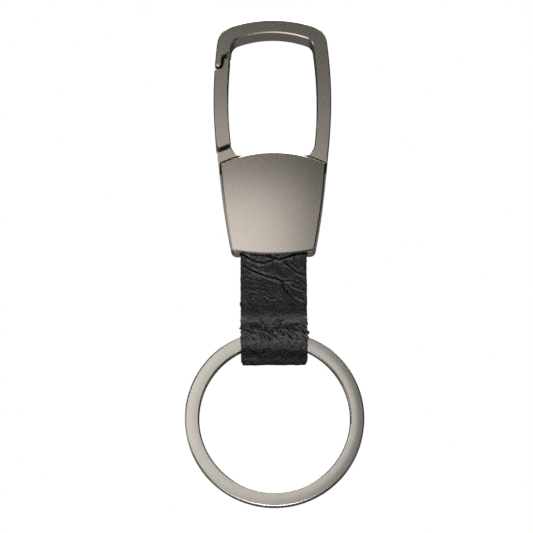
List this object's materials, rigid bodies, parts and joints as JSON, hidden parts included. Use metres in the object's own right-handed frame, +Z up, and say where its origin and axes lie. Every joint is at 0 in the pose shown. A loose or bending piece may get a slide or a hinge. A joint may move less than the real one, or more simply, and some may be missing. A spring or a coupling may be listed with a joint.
{
  "type": "carabiner keyring",
  "caption": "Satin gunmetal carabiner with a sprung side gate, a shield-shaped cover and a folded black leather strap that holds a flat split ring.",
  "frame": {"origin": "saddle of the hook: the inside top of the loop, on the centre line, at half the loop's thickness", "axes": "+X to the right seen from the front, -Y the front (the cover's side), +Z up along the length, towards the loop's crown"},
  "size_m": [0.035, 0.0064, 0.098],
  "materials": {
    "gunmetal": "satin, brushed lengthways",
    "nickel_steel": "satin",
    "spring_steel": "bright",
    "black_leather": "fine grain, semi-matt"
  },
  "bodies": {
    "carabiner": {"hook_frame": "gunmetal", "front_cover": "gunmetal", "cover_screws": "nickel_steel", "gate_hinge_pin": "nickel_steel", "gate_spring": "spring_steel", "strap_tails": "black_leather"},
    "gate_leaf": {"gate": "gunmetal"},
    "strap_upper": {"strap_web": "black_leather"},
    "strap_fold": {"strap_loop": "black_leather"},
    "key_ring": {"split_ring": "nickel_steel"}
  },
  "joints": [
    {"name": "gate_pivot", "type": "hinge", "parent": "carabiner", "child": "gate_leaf", "pos_m": [-0.0092, 0, -0.0253], "axis": [0, 1, 0], "range_deg": [0, 28], "stiffness_Nm_per_rad": 0.008, "springref_deg": -28.65, "deforming": ["gate_spring"]},
    {"name": "strap_flex", "type": "hinge", "parent": "carabiner", "child": "strap_upper", "pos_m": [0, -0.0002, -0.0462], "axis": [1, 0, 0], "range_deg": [-60, 60]},
    {"name": "ring_swing", "type": "hinge", "parent": "strap_upper", "child": "strap_fold", "pos_m": [0, -0.0002, -0.0564], "axis": [1, 0, 0], "range_deg": [-75, 75]},
    {"name": "ring_turn", "type": "hinge", "parent": "strap_fold", "child": "key_ring", "pos_m": [0, -0.0002, -0.07785], "axis": [0, 1, 0], "continuous": true}
  ]
}
